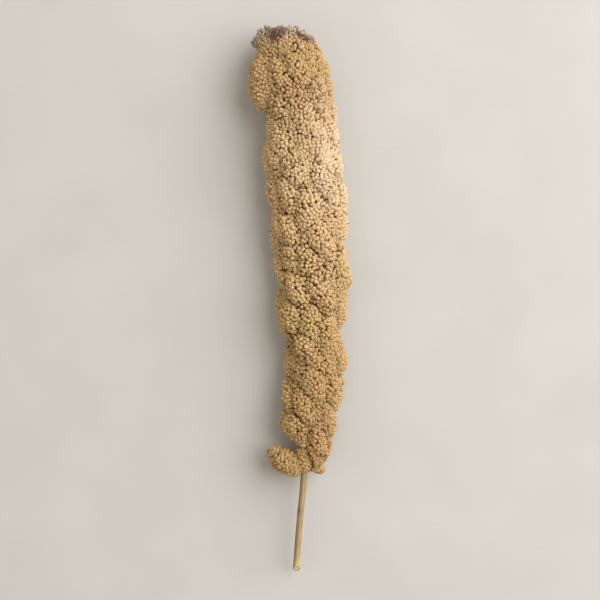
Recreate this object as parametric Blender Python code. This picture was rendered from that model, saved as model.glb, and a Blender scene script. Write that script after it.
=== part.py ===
# Foxtail millet head lying down: a dense head of grains in crowded clusters, and the cut stem that carries it.
# X is across the head, Y runs along it towards the tip and Z is up. Lengths are in millimetres until a mesh is made.

import math
import random

import bpy
import numpy as np

METRES_PER_MM = 0.001
RANDOM_SEED = 7

# The head's outline seen from above, from its base to its tip.
# Each row holds a point on the left edge (x, y), one on the right edge (x, y) and the half height there.
OUTLINE = (
    (6.3, -3.2, 6.3, -3.2, 0.0),
    (3.0, -2.0, 9.3, -2.0, 4.2),
    (1.2, 2.2, 10.8, 2.0, 6.6),
    (-2.2, 7.8, 12.6, 7.2, 8.8),
    (-7.4, 12.2, 14.2, 12.4, 10.2),
    (-9.1, 18.0, 15.5, 19.0, 11.0),
    (-8.0, 30.0, 17.6, 31.0, 11.6),
    (-7.6, 40.0, 18.8, 41.0, 11.8),
    (-7.4, 47.5, 17.3, 48.5, 11.9),
    (-10.6, 58.0, 18.7, 60.0, 12.4),
    (-9.7, 70.0, 20.3, 70.5, 12.8),
    (-11.4, 84.0, 18.6, 83.0, 13.1),
    (-13.2, 97.0, 18.8, 97.0, 13.4),
    (-14.8, 112.0, 17.8, 110.0, 13.6),
    (-15.0, 128.0, 15.4, 127.0, 13.7),
    (-15.4, 142.0, 14.1, 140.0, 13.7),
    (-17.0, 153.0, 11.8, 152.0, 13.1),
    (-18.6, 160.0, 8.6, 159.5, 11.3),
    (-17.2, 164.6, 3.2, 165.0, 8.6),
    (-14.0, 167.2, -0.4, 167.4, 5.2),
    (-6.8, 168.3, -6.8, 168.3, 0.0),
)
# The axis rises as the head thickens, and sags in the middle, where the head rests.
AXIS_HEIGHT_AT_BASE = 8.4
AXIS_RISE = 0.0214
AXIS_SAG = 1.1
SAG_MIDDLE = 82.0
SAG_REACH = 84.0
OUTLINE_STEPS = 900

# Clusters at the ends that stand off the column.
# Each has its centre, its half length, half width and half height, and the heading of its length in degrees.
FREE_CLUSTERS = (
    ("neck_cluster", (2.0, 4.0, 9.5), (6.4, 4.3, 5.4), 90.0),
    ("lower_left_cluster", (-5.6, 2.4, 9.6), (8.4, 5.2, 6.4), 143.0),
    ("upper_left_cluster", (-12.4, 147.4, 12.9), (13.5, 7.5, 8.6), 83.0),
)
CLUSTER_STEPS = 120

# Grains, packed in staggered rows. Each one is a blunt cone that leans towards the tip.
GRAIN_PITCH = 3.15
GRAIN_RELIEF = 1.15
GRAIN_LEAN = 0.35
GRAIN_SCATTER = 0.2
GRAIN_HEIGHT_SPREAD = 0.3
ROW_SPACING = GRAIN_PITCH * math.sqrt(0.75)
FEWEST_ROW_GRAINS = 5

# Clusters of the column: long domes placed on a spiral, parted by winding creases that are deeper towards the base.
# A dome's width is its length times its narrowness, and its length slants from that of the head, in degrees.
DOME_COUNT = 118
DOME_RADIUS = 5.6
DOME_NARROWNESS = 0.62
DOME_SLANT = 32.0
CREASE_AT_BASE = 3.2
CREASE_AT_TIP = 2.4
WIDEST_CREASE = 1.2
CREASE_WANDER = 1.1
WANDER_LENGTH = 3.4
DOME_HEIGHT_SPREAD = 1.1
DOME_STRAY_TURN = 0.4
DOME_STRAY_STEPS = 14.0
GOLDEN_ANGLE = math.radians(137.508)

# The stem's centre line, from inside the head to the cut end.
STEM_LINE = (
    (2.4, 12.0, 9.7),
    (1.9, 4.0, 9.5),
    (1.5, -3.0, 9.3),
    (0.95, -10.0, 9.1),
    (0.2, -17.0, 8.8),
    (-0.4, -24.0, 8.4),
    (-0.95, -31.0, 7.9),
    (-1.55, -40.3, 7.0),
)
STEM_RADIUS_IN_HEAD = 1.3
STEM_RADIUS_AT_CUT = 1.25
STEM_SIDES = 20
STEM_STEPS = 30
SOCKET_GAP = 0.3

CURVE_SAMPLES = 40
SLOPE_STEPS = 2
SLOPE_TURN = 0.05
SHARP_EDGE = math.radians(40)
UP = np.array((0.0, 0.0, 1.0))
TIPWARD = np.array((0.0, 1.0, 0.0))


def clear_scene():
    for obj in list(bpy.data.objects):
        bpy.data.objects.remove(obj, do_unlink=True)


def linear_colour(red, green, blue):
    """The shader's colour for an 8-bit screen colour."""

    def channel(value):
        share = value / 255
        return share / 12.92 if share <= 0.04045 else ((share + 0.055) / 1.055) ** 2.4

    return (channel(red), channel(green), channel(blue), 1.0)


def surface_material(name, colour, roughness):
    material = bpy.data.materials.new(name)
    material.use_nodes = True
    shader = material.node_tree.nodes["Principled BSDF"]
    shader.inputs["Base Color"].default_value = colour
    shader.inputs["Roughness"].default_value = roughness
    shader.inputs["Metallic"].default_value = 0.0
    material.diffuse_color = colour
    return material


def grain_material():
    return surface_material("dry_grain", linear_colour(184, 150, 106), 0.72)


def stem_material():
    return surface_material("straw_stem", linear_colour(176, 154, 112), 0.6)


def unit(vector):
    return vector / np.linalg.norm(vector)


def smooth_curve(knots, steps):
    """Evenly spaced points on a smooth curve through the knots, which may have any number of columns."""
    knots = np.array(knots, float)
    padded = np.vstack([2 * knots[0] - knots[1], knots, 2 * knots[-1] - knots[-2]])
    fine = []
    for a, b, c, d in zip(padded, padded[1:], padded[2:], padded[3:]):
        for t in np.arange(CURVE_SAMPLES) / CURVE_SAMPLES:
            bend = (2 * a - 5 * b + 4 * c - d) * t**2 + (3 * b - a - 3 * c + d) * t**3
            fine.append(b + ((c - a) * t + bend) / 2)
    fine = np.array([*fine, knots[-1]])
    walked = distance_walked(fine)
    wanted = np.linspace(0, walked[-1], steps)
    return np.column_stack([np.interp(wanted, walked, column) for column in fine.T])


def distance_walked(points):
    return np.concatenate([[0], np.cumsum(np.linalg.norm(np.diff(points, axis=0), axis=1))])


def column_rings():
    """The head's cross sections: for each its centre, its half width vector and its half height vector."""
    rows = smooth_curve(OUTLINE, OUTLINE_STEPS)
    left, right, half_height = rows[:, 0:2], rows[:, 2:4], rows[:, 4:5]
    middle = (left + right) / 2
    along = middle[:, 1]
    height = AXIS_HEIGHT_AT_BASE + AXIS_RISE * along + AXIS_SAG * ((along - SAG_MIDDLE) / SAG_REACH) ** 2
    centre = np.column_stack([middle, height])
    across = np.column_stack([(right - left) / 2, np.zeros(len(rows))])
    return np.stack([centre, across, np.maximum(half_height, 0) * UP], axis=1)


def heading_vector(heading):
    return np.array((math.cos(math.radians(heading)), math.sin(math.radians(heading)), 0.0))


def cluster_rings(centre, half_sizes, heading):
    """The cross sections of an ellipsoid whose length lies level at the heading."""
    half_length, half_width, half_height = half_sizes
    along = heading_vector(heading)
    sweep = np.linspace(0, math.pi, CLUSTER_STEPS)[:, None]
    middle = np.array(centre) - along * half_length * np.cos(sweep)
    across = np.cross(along, UP) * half_width * np.sin(sweep)
    return np.stack([middle, across, UP * half_height * np.sin(sweep)], axis=1)


def ring_at(rings, station):
    """The cross section at a station, which may lie between two of the rings."""
    first = min(int(station), len(rings) - 2)
    share = station - first
    return rings[first] * (1 - share) + rings[first + 1] * share


def surface_point(rings, station, angle):
    centre, across, up = ring_at(rings, station)
    return centre + across * math.cos(angle) + up * math.sin(angle)


def surface_outward(rings, station, angle):
    """The unit vector square to the surface there."""
    last = len(rings) - 1
    ahead = surface_point(rings, min(station + SLOPE_STEPS, last), angle)
    behind = surface_point(rings, max(station - SLOPE_STEPS, 0), angle)
    one_side = surface_point(rings, station, angle + SLOPE_TURN)
    other_side = surface_point(rings, station, angle - SLOPE_TURN)
    return unit(np.cross(ahead - behind, one_side - other_side))


def row_stations(rings):
    """Stations of the rows of grains, evenly spaced over the surface from pole to pole."""
    centre, across, up = rings[:, 0], rings[:, 1], rings[:, 2]
    walked = (distance_walked(centre + across) + distance_walked(centre - across) + distance_walked(centre + up)) / 3
    rows = round(walked[-1] / ROW_SPACING)
    return [float(np.interp(walked[-1] * i / rows, walked, range(len(walked)))) for i in range(rows + 1)]


def grain_rows(rings, draw):
    """Rows of grain places from pole to pole. A place holds its point, its outward vector and its share of a turn."""
    stations = row_stations(rings)
    last = len(rings) - 1
    rows = [[(rings[0, 0], unit(rings[0, 0] - rings[1, 0]), 0.0)]]
    for i in range(1, len(stations) - 1):
        _, across, up = ring_at(rings, stations[i])
        girth = math.pi * (np.linalg.norm(across) + np.linalg.norm(up))
        count = max(FEWEST_ROW_GRAINS, round(girth / GRAIN_PITCH))
        row = []
        for j in range(count):
            turn = (j + i % 2 / 2) / count
            angle = 2 * math.pi * (turn + draw.uniform(-GRAIN_SCATTER, GRAIN_SCATTER) / count)
            stray = draw.uniform(-GRAIN_SCATTER, GRAIN_SCATTER) * (stations[i + 1] - stations[i])
            station = min(max(stations[i] + stray, 0), last)
            row.append((surface_point(rings, station, angle), surface_outward(rings, station, angle), turn))
        rows.append(row)
    rows.append([(rings[last, 0], unit(rings[last, 0] - rings[last - 1, 0]), 0.0)])
    return rows


def closed_turns(row, first_index):
    """(vertex, share of a turn) for each grain of a row, with the first one repeated a turn later."""
    turns = [(first_index + j, place[2]) for j, place in enumerate(row)]
    return turns + [(turns[0][0], turns[0][1] + 1)] if len(row) > 1 else turns


def faces_between(low, high):
    """Triangles that join two neighbouring rows, whatever their counts, facing out."""
    faces = []
    a = b = 0
    while a < len(low) - 1 or b < len(high) - 1:
        low_is_next = b == len(high) - 1 or (a < len(low) - 1 and low[a + 1][1] <= high[b + 1][1])
        if low_is_next:
            faces.append((low[a][0], high[b][0], low[a + 1][0]))
            a += 1
        else:
            faces.append((low[a][0], high[b][0], high[b + 1][0]))
            b += 1
    return faces


def net_of_rows(rows):
    """The triangles that join all the rows, with a grain place at each corner."""
    starts = np.cumsum([0] + [len(row) for row in rows])
    turns = [closed_turns(row, start) for row, start in zip(rows, starts)]
    return [face for low, high in zip(turns, turns[1:]) for face in faces_between(low, high)]


def column_domes(rings, draw):
    """The middle of each cluster of the column, how far its top lies under the outline and which way it is long."""
    middles, offsets, lengthwise = [], [], []
    slant = math.radians(DOME_SLANT)
    last = len(rings) - 1
    for k in range(DOME_COUNT):
        station = last * (k + 0.5) / DOME_COUNT + draw.uniform(-DOME_STRAY_STEPS, DOME_STRAY_STEPS)
        angle = k * GOLDEN_ANGLE + draw.uniform(-DOME_STRAY_TURN, DOME_STRAY_TURN)
        outward = surface_outward(rings, min(max(station, SLOPE_STEPS), last - SLOPE_STEPS), angle)
        middles.append(surface_point(rings, min(max(station, 0), last), angle))
        offsets.append(draw.uniform(0, DOME_HEIGHT_SPREAD))
        lengthwise.append(unit(math.cos(slant) * TIPWARD + math.sin(slant) * np.cross(outward, TIPWARD)))
    return np.array(middles), np.array(offsets), np.array(lengthwise)


def wandered(point):
    """The point moved a little to and fro, which makes the creases wind."""
    x, y, z = point / WANDER_LENGTH
    return point + CREASE_WANDER * np.array((math.sin(y + z), math.sin(z - x), math.sin(x + y)))


def depth_under_outline(point, domes):
    """Least at a cluster's middle and most in the creases between clusters."""
    middles, offsets, lengthwise = domes
    crease = np.interp(point[1], (OUTLINE[0][1], OUTLINE[-1][1]), (CREASE_AT_BASE, CREASE_AT_TIP))
    apart = middles - wandered(point)
    along = (apart * lengthwise).sum(axis=1)
    distance_squared = (apart**2).sum(axis=1) - (1 - DOME_NARROWNESS**2) * along**2
    share = np.minimum(distance_squared / DOME_RADIUS**2, WIDEST_CREASE)
    return float((offsets + crease * share).min())


def grain_body(name, rings, domes, along, draw):
    """A closed body covered by grains: their tips lie over the corners of the net and the hollows in its triangles."""
    rows = grain_rows(rings, draw)
    net = net_of_rows(rows)
    places = [place for row in rows for place in row]
    outs = np.array([out for _, out, _ in places])
    depths = np.array([depth_under_outline(point, domes) if domes else 0.0 for point, _, _ in places])
    sunk = np.array([point for point, _, _ in places]) - outs * depths[:, None]
    lowered = np.array([draw.uniform(0, GRAIN_HEIGHT_SPREAD) for _ in places])
    tips = sunk + along * GRAIN_LEAN - outs * lowered[:, None]
    hollows = [sunk[list(f)].mean(axis=0) - unit(outs[list(f)].sum(axis=0)) * GRAIN_RELIEF for f in net]
    face_beside = {edge: index for index, (a, b, c) in enumerate(net) for edge in ((a, b), (b, c), (c, a))}
    triangles = []
    for (start, end), index in face_beside.items():
        triangles.append((start, len(tips) + face_beside[(end, start)], len(tips) + index))
    points = np.vstack([tips, hollows])
    points[:, 2] = np.maximum(points[:, 2], 0.0)
    return mesh_object(name, points, triangles)


def mesh_object(name, points, faces):
    mesh = bpy.data.meshes.new(name)
    mesh.from_pydata([tuple(point * METRES_PER_MM) for point in points], [], faces)
    mesh.update()
    obj = bpy.data.objects.new(name, mesh)
    bpy.context.scene.collection.objects.link(obj)
    return obj


def tube(name, line, radii):
    """A closed round tube along a line of points."""
    points = []
    for i, (point, radius) in enumerate(zip(line, radii)):
        ahead = line[min(i + 1, len(line) - 1)] - line[max(i - 1, 0)]
        side = unit(np.cross(ahead, UP))
        rise = np.cross(side, unit(ahead))
        for j in range(STEM_SIDES):
            angle = 2 * math.pi * j / STEM_SIDES
            points.append(point + radius * (side * math.cos(angle) + rise * math.sin(angle)))
    faces = []
    for start in range(0, len(points) - STEM_SIDES, STEM_SIDES):
        for j in range(STEM_SIDES):
            a, b = start + j, start + (j + 1) % STEM_SIDES
            faces.append((b, a, a + STEM_SIDES, b + STEM_SIDES))
    faces.append(tuple(range(STEM_SIDES)))
    faces.append(tuple(range(len(points) - STEM_SIDES, len(points)))[::-1])
    return mesh_object(name, points, faces)


def boolean(target, operation, **other):
    """Cuts or joins the target with the other object or collection, and keeps the result as its mesh."""
    step = target.modifiers.new(operation.lower(), "BOOLEAN")
    step.operation = operation
    for field, value in other.items():
        setattr(step, field, value)
    graph = bpy.context.evaluated_depsgraph_get()
    solid = bpy.data.meshes.new_from_object(target.evaluated_get(graph))
    target.modifiers.clear()
    target.data = solid


def make_free_clusters(draw):
    collection = bpy.data.collections.new("free_clusters")
    bpy.context.scene.collection.children.link(collection)
    for name, centre, half_sizes, heading in FREE_CLUSTERS:
        rings = cluster_rings(centre, half_sizes, heading)
        cluster = grain_body(name, rings, None, heading_vector(heading), draw)
        bpy.context.scene.collection.objects.unlink(cluster)
        collection.objects.link(cluster)
    return collection


def make_stem():
    radii = np.linspace(STEM_RADIUS_IN_HEAD, STEM_RADIUS_AT_CUT, STEM_STEPS)
    return tube("stem", smooth_curve(STEM_LINE, STEM_STEPS), radii)


def make_socket():
    """The hole in the head's base that the stem runs into, a little wider and deeper than the stem."""
    line = smooth_curve(STEM_LINE, STEM_STEPS)
    line[0] += unit(line[0] - line[1]) * SOCKET_GAP
    socket = tube("stem_socket", line, [STEM_RADIUS_IN_HEAD + SOCKET_GAP] * STEM_STEPS)
    socket.hide_render = True
    socket.display_type = "WIRE"
    return socket


def make_head():
    draw = random.Random(RANDOM_SEED)
    rings = column_rings()
    head = grain_body("grain_head", rings, column_domes(rings, draw), heading_vector(90.0), draw)
    clusters = make_free_clusters(draw)
    boolean(head, "UNION", operand_type="COLLECTION", collection=clusters)
    for cluster in list(clusters.objects):
        bpy.data.objects.remove(cluster, do_unlink=True)
    bpy.data.collections.remove(clusters)
    boolean(head, "DIFFERENCE", object=make_socket())
    return head


def finish_surface(obj, material):
    obj.data.materials.clear()
    obj.data.materials.append(material)
    obj.data.shade_smooth()
    obj.data.set_sharp_from_angle(angle=SHARP_EDGE)


def centre_on_floor(objects):
    """Moves the meshes so that the middle of the whole object stands over the origin and its lowest point is at zero."""
    corners = np.array([vertex.co for obj in objects for vertex in obj.data.vertices])
    low, high = corners.min(axis=0), corners.max(axis=0)
    shift = ((low[0] + high[0]) / -2, (low[1] + high[1]) / -2, -low[2])
    for obj in objects:
        for vertex in obj.data.vertices:
            vertex.co = [vertex.co[i] + shift[i] for i in range(3)]


def main():
    clear_scene()
    head = make_head()
    stem = make_stem()
    finish_surface(head, grain_material())
    finish_surface(stem, stem_material())
    bpy.data.objects.remove(bpy.data.objects["stem_socket"], do_unlink=True)
    centre_on_floor([head, stem])


main()
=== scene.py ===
# Foxtail millet head: the finished look of its grains, husks, bristles, bracts and stem.
# Shapes are worked out in millimetres in the head's own axes, then moved into the frame and made in metres.

import itertools
import math
import random

import bpy
import numpy as np
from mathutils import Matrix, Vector
from mathutils.kdtree import KDTree


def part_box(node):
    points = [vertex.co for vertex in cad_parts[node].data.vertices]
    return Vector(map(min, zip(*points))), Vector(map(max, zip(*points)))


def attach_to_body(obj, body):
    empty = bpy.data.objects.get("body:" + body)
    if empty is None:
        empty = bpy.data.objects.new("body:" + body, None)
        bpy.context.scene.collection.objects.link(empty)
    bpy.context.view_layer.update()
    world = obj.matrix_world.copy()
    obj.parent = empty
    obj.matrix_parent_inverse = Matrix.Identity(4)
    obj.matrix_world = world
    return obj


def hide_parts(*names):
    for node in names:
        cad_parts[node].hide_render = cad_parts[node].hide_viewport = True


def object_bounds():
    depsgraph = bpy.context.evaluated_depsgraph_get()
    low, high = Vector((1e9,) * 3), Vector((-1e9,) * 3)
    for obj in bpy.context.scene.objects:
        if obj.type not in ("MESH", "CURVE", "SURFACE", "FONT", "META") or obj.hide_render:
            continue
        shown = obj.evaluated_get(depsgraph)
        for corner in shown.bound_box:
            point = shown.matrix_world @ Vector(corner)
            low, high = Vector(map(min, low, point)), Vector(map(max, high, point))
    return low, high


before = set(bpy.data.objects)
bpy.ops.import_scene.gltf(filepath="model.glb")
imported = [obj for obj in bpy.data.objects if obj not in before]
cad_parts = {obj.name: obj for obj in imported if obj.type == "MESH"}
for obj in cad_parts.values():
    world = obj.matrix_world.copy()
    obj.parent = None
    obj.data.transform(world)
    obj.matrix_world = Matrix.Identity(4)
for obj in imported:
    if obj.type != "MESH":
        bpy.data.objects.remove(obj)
CAD_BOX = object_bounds()

METRES_PER_MM = 0.001
FULL_TURN = 2 * math.pi
RANDOM_SEED = 7
LOOK_SEED = 23

# The head's outline seen from above, from its base to its tip.
# Each row holds a point on the left edge (x, y), one on the right edge (x, y) and the half height there.
OUTLINE = (
    (6.3, -3.2, 6.3, -3.2, 0.0),
    (3.0, -2.0, 9.3, -2.0, 4.2),
    (1.2, 2.2, 10.8, 2.0, 6.6),
    (-2.2, 7.8, 12.6, 7.2, 8.8),
    (-7.4, 12.2, 14.2, 12.4, 10.2),
    (-9.1, 18.0, 15.5, 19.0, 11.0),
    (-8.0, 30.0, 17.6, 31.0, 11.6),
    (-7.6, 40.0, 18.8, 41.0, 11.8),
    (-7.4, 47.5, 17.3, 48.5, 11.9),
    (-10.6, 58.0, 18.7, 60.0, 12.4),
    (-9.7, 70.0, 20.3, 70.5, 12.8),
    (-11.4, 84.0, 18.6, 83.0, 13.1),
    (-13.2, 97.0, 18.8, 97.0, 13.4),
    (-14.8, 112.0, 17.8, 110.0, 13.6),
    (-15.0, 128.0, 15.4, 127.0, 13.7),
    (-15.4, 142.0, 14.1, 140.0, 13.7),
    (-17.0, 153.0, 11.8, 152.0, 13.1),
    (-18.6, 160.0, 8.6, 159.5, 11.3),
    (-17.2, 164.6, 3.2, 165.0, 8.6),
    (-14.0, 167.2, -0.4, 167.4, 5.2),
    (-6.8, 168.3, -6.8, 168.3, 0.0),
)
# The axis rises as the head thickens, and sags in the middle, where the head rests.
AXIS_AT_BASE = 8.4
AXIS_RISE = 0.0214
AXIS_SAG = 1.1
SAG_MIDDLE = 82.0
SAG_REACH = 84.0
OUTLINE_STEPS = 900

# Clusters at the ends that stand off the column: centre, half sizes and heading of the length in degrees.
FREE_CLUSTERS = (
    ((2.0, 4.0, 9.5), (6.4, 4.3, 5.4), 90.0),
    ((-5.6, 2.4, 9.6), (8.4, 5.2, 6.4), 143.0),
    ((-12.4, 147.4, 12.9), (13.5, 7.5, 8.6), 83.0),
)
CLUSTER_STEPS = 120
# Their small knobs are the sum of three waves, each with how much it leans and where it starts.
KNOB_SIZE = 6.5
KNOB_DEPTH = 0.7
KNOB_STEEPNESS = 0.25
KNOB_WAVES = ((0.6, 0.0), (-0.5, 1.0), (0.4, 2.0))

# Clusters of the column: long domes on a spiral, parted by winding creases, whose depths are at base and tip.
# A dome is one crease depth lower at its radius, and the middles of neighbours are about DOME_WIDTH apart.
# A dome's width is its length times its narrowness, and its length slants from the head's, in degrees.
DOME_COUNT = 118
DOME_RADIUS = 5.6
DOME_WIDTH = 9.0
DOME_NARROWNESS = 0.62
DOME_SLANT = 32.0
CREASE_DEPTHS = (2.6, 1.5)
WIDEST_CREASE = 1.2
CREASE_WANDER = 1.1
WANDER_LENGTH = 3.4
DOME_HEIGHT_SPREAD = 1.1
DOME_STRAY_TURN = 0.4
DOME_STRAY_STEPS = 14.0
DOME_CURVE_RADIUS = 7.2
GOLDEN_ANGLE = math.radians(137.508)

# Grains of the outer layer, which lie at random and push one another apart.
GRAIN_LENGTH = 2.25
GRAIN_WIDTH = 1.76
GRAIN_FLATNESS = 0.88
GRAIN_SPACING = 1.16
PUSH_REACH = 1.6
PUSH_ROUNDS = 5
PUSH_SHARE = 0.25
SUPPORT_REACH = 2.6
FEWEST_NEIGHBOURS = 5
CANDIDATES_PER_MM2 = 5.0
GRAINS_HIDDEN_UNDER = 1.0
GRAIN_SIDES = 8
GRAIN_PROFILE = ((0.1, 0.26), (0.32, 0.45), (0.56, 0.49), (0.78, 0.39), (0.93, 0.21))
GRAIN_PIECES = 4
# They point outward, away from the middle of their cluster and a little towards the tip, by these shares.
OUTWARD_SHARE, DOME_SHARE, TIPWARD_SHARE = 0.75, 0.5, 0.22
TILT_SPREAD = 0.23
HEIGHT_SPREAD = 0.11
SIZE_SPREAD = 0.08
WIDTH_SHARES = (0.9, 1.08)
TIP_SHRINK = 0.2
# They are darker near the withered lumps, at the tip and, some of them, anywhere, and in the creases by
# painted shade that deepens with their depth.
LUMP_DARKENING = 0.7
TIP_DARKENING = 0.2
CREASE_SHADE_DEPTH = 12.0
DULL_SHARE = 0.08
DULL_SHADES = (0.3, 0.7)

# Narrow crevices along the borders of the clusters, deepest at the base, and short cracks without grains.
CREVICE_DEPTHS = (0.85, 0.3)
CREVICE_HALF_WIDTH = 0.6
CRACK_COUNT = 60
CRACK_HALF_WIDTH = 0.55
CRACK_LENGTHS = (0.8, 4.6)

# The inner layer of grains, and the skins of chaff under it, whose grids are (steps, sides).
INNER_DEPTH = 0.5
INNER_SPACING = 1.3
INNER_HIDDEN_UNDER = 2.2
INNER_WIDTH = GRAIN_WIDTH * 1.05
INNER_SIDES = 6
INNER_PROFILE = ((0.2, 0.36), (0.56, 0.49), (0.84, 0.31))
# The inner grains, which show in the gaps, take more of their foot's ochre and a little darkness as painted
# shade.
INNER_HEIGHT_SHARE = 0.75
INNER_PAINTED_SHADE = 0.04
CORE_DEPTH = 2.3
CORE_LEAST_HEIGHT = 0.3
HEAD_CORE_GRID = (220, 56)
CLUSTER_CORE_GRID = (40, 28)

# Papery scales that clasp the grains. A row is (height, radius, half spread in degrees).
SCALE_ROWS = ((0.05, 0.36, 66), (0.32, 0.49, 56), (0.62, 0.53, 40))
SCALE_POINT = (0.47, 0.0, 0.86)
SCALE_LENGTHS = (0.8, 1.0)

# Three-sided blades: the fine bristles between the grains, and the dry bracts at the tip.
BLADE_SIDES = 3
BLADE_PROFILE = ((0.0, 0.5), (0.35, 0.46), (0.7, 0.3))
BRISTLE_COUNT = 500
BRISTLE_LENGTHS = (1.5, 2.6)
BRISTLE_WIDTH = 0.11
BRISTLE_STRAY = 0.5
BRISTLE_TIP_SHADE = 0.7
BRACT_COUNT = 30
BRACT_LENGTHS = (0.8, 1.5)
BRACT_WIDTH = 0.5
BRACT_WIDTH_SHARES = (0.7, 1.2)
BRACT_TIPWARD = 1.2
BRACT_UPWARD = 0.5
BRACT_STANDOFF = 0.3
BRACT_SHADES = (0.6, 1.0)

# The withered tip: dark lumps round its rim.
# Each has its middle (x, y), how high it stands between the axis and the top, its half size and its shade.
TIP_LUMPS = (
    ((-15.6, 160.8), 0.45, 2.2, 0.1),
    ((-14.2, 162.8), 0.7, 2.0, 0.2),
    ((-12.6, 164.4), 0.2, 2.2, 0.35),
    ((-8.4, 162.8), 0.92, 2.2, 1.0),
    ((-7.2, 164.6), 0.2, 2.2, 0.7),
    ((-3.6, 164.0), 0.75, 1.8, 0.1),
    ((-2.2, 164.4), 0.1, 2.4, 0.25),
    ((0.8, 163.0), 0.7, 1.8, 0.1),
    ((3.4, 160.8), 0.65, 1.8, 0.55),
    ((1.6, 162.4), -0.3, 2.2, 0.4),
    ((-9.6, 164.0), -0.45, 2.2, 0.4),
    ((-4.6, 165.0), -0.25, 2.0, 0.35),
    ((-13.4, 163.6), -0.4, 2.0, 0.3),
    ((-16.4, 160.6), -0.15, 1.9, 0.25),
    ((-5.6, 163.6), -0.7, 2.0, 0.35),
    ((3.6, 160.8), -0.05, 1.9, 0.45),
)
LUMP_SIZES = np.array([lump[2] for lump in TIP_LUMPS])
LUMP_SHADES = np.array([lump[3] for lump in TIP_LUMPS])
LUMP_SINK = 0.9
LUMP_CORE_SHARE = 0.9
LUMP_SHADE_REACH = 1.8
TIP_START = 161.5
TIP_REACH = 5.0
TIP_SINK = 1.6
# Withered grains: crowded into the lumps, and several for each dried grain between them.
GRAINS_PER_LUMP = 60
LUMP_UNEVENNESS = 0.12
LUMP_WAVES = 3
LUMP_REACHES = (0.85, 1.1)
LUMP_ROOT_SHARE = 0.7
LUMP_SHADE_SHARES = (0.6, 1.1)
DRIED_FOR_EACH = 4
DRIED_STRAY = 0.5
DRIED_SHADES = (0.05, 0.6)
WITHERED_LENGTH = 1.8
WITHERED_WIDTH = 1.25
WITHERED_SIZES = (0.7, 1.15)
WITHERED_SIDES = 8
WITHERED_PROFILE = ((0.12, 0.3), (0.4, 0.5), (0.68, 0.44), (0.88, 0.25))
WRINKLE = 0.16

# The stem's centre line and radii, from inside the head to the cut end.
STEM_LINE = (
    (2.4, 12.0, 9.7),
    (1.9, 4.0, 9.5),
    (1.5, -3.0, 9.3),
    (0.95, -10.0, 9.1),
    (0.2, -17.0, 8.8),
    (-0.4, -24.0, 8.4),
    (-0.95, -31.0, 7.9),
    (-1.55, -40.3, 7.0),
)
STEM_RADII = (1.3, 1.25)
STEM_SIDES = 36
STEM_STEPS = 90
PACKED_STEM_SIDES = 20
PACKED_STEM_STEPS = 30
STEM_RIDGES = 9
STEM_RIDGE_DEPTH = 0.06
STEM_SHARP_EDGE = math.radians(50)
FLARE_LENGTH = 5.0
FLARE = 0.2
SLANT = 1.0
# Rings on the cut face: each one's share of the radius and how pale the pith is there.
CUT_RINGS = ((0.86, 0.1), (0.6, 0.75), (0.3, 0.95))
STAIN_PLACE = (-0.9, -16.3, 9.4)
STAIN_REACH = 1.3

# Colours on screen, red, green and blue from 0 to 255. A row has its place from 0 to 1 and the colour there.
HUSK_COLOURS = (
    (0.0, (194, 162, 110)),
    (0.2, (207, 180, 130)),
    (0.42, (214, 190, 144)),
    (0.6, (202, 173, 121)),
    (0.8, (211, 187, 141)),
    (1.0, (220, 200, 162)),
)
PAPER_COLOURS = ((0.0, (200, 160, 98)), (0.5, (218, 184, 126)), (1.0, (182, 138, 80)))
WITHERED_COLOURS = ((0.0, (170, 152, 135)), (0.5, (186, 165, 147)), (1.0, (204, 184, 165)))
# The chaff bed is dark partly as painted shade deep between the grains.
CHAFF_COLOURS = ((0.3, (146, 100, 48)), (0.7, (186, 138, 78)))
FLOOR_COLOURS = ((0.3, (190, 188, 184)), (0.7, (195, 193, 189)))
STEM_COLOURS = (
    (0.0, (202, 192, 116)),
    (0.018, (192, 180, 108)),
    (0.045, (161, 141, 105)),
    (0.1, (168, 146, 114)),
    (0.145, (166, 140, 108)),
    (0.165, (150, 138, 92)),
    (0.19, (146, 138, 80)),
)
# How strong the painted glare on the lit right side is along the part and across it, how much darker the
# grains grow towards both ends, how withered they are at the tip, and how unlike their ribs are.
GLARE_ALONG = ((0.42, 0.0), (0.6, 0.2), (0.74, 0.8), (0.87, 0.55), (0.93, 0.0))
GLARE_ACROSS = ((0.3, 0.25), (0.5, 0.35), (0.72, 1.0))
ENDS_DARKER_ALONG = ((0.18, 0.85), (0.26, 0.6), (0.5, 0.2), (0.65, 0.0), (0.8, 0.0), (0.87, 0.5), (0.93, 0.35))
WITHERED_ALONG = ((0.945, 0.0), (0.972, 0.5), (0.988, 0.8))
RIB_VARIETY = 60.0

# A colour mix's inputs and output, by number because several have the same name.
MIX_SHARE, MIX_FIRST, MIX_SECOND, MIX_RESULT = 0, 6, 7, 2

# Floor and camera, in metres and, for the lens, millimetres. The view is a little longer than the part.
FLOOR_HALF_WIDTH = 1.2
LENS = 85
SENSOR_WIDTH = 36
VIEW_MARGIN = 1.09

CURVE_SAMPLES = 40
LEAST_HEIGHT = 0.02
SLOPE_STEPS = 2.0
SLOPE_TURN = 0.05
LEAST_HALF_WIDTH = 0.1
LEAST_HALF_IN_DEPTH = 1.0
NEARLY_UPRIGHT = 0.9
TEMPLATE_MIDDLE = 0.5
TINY_LENGTH = 1e-9
SAME_PLACE = 1e-6
UP = np.array((0.0, 0.0, 1.0))
TIPWARD = np.array((0.0, 1.0, 0.0))


def norms(vectors):
    return np.linalg.norm(vectors, axis=-1)


def unit(vectors):
    return vectors / np.maximum(norms(vectors), TINY_LENGTH)[..., None]


def distance_walked(points):
    return np.concatenate([[0], np.cumsum(norms(np.diff(points, axis=0)))])


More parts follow.
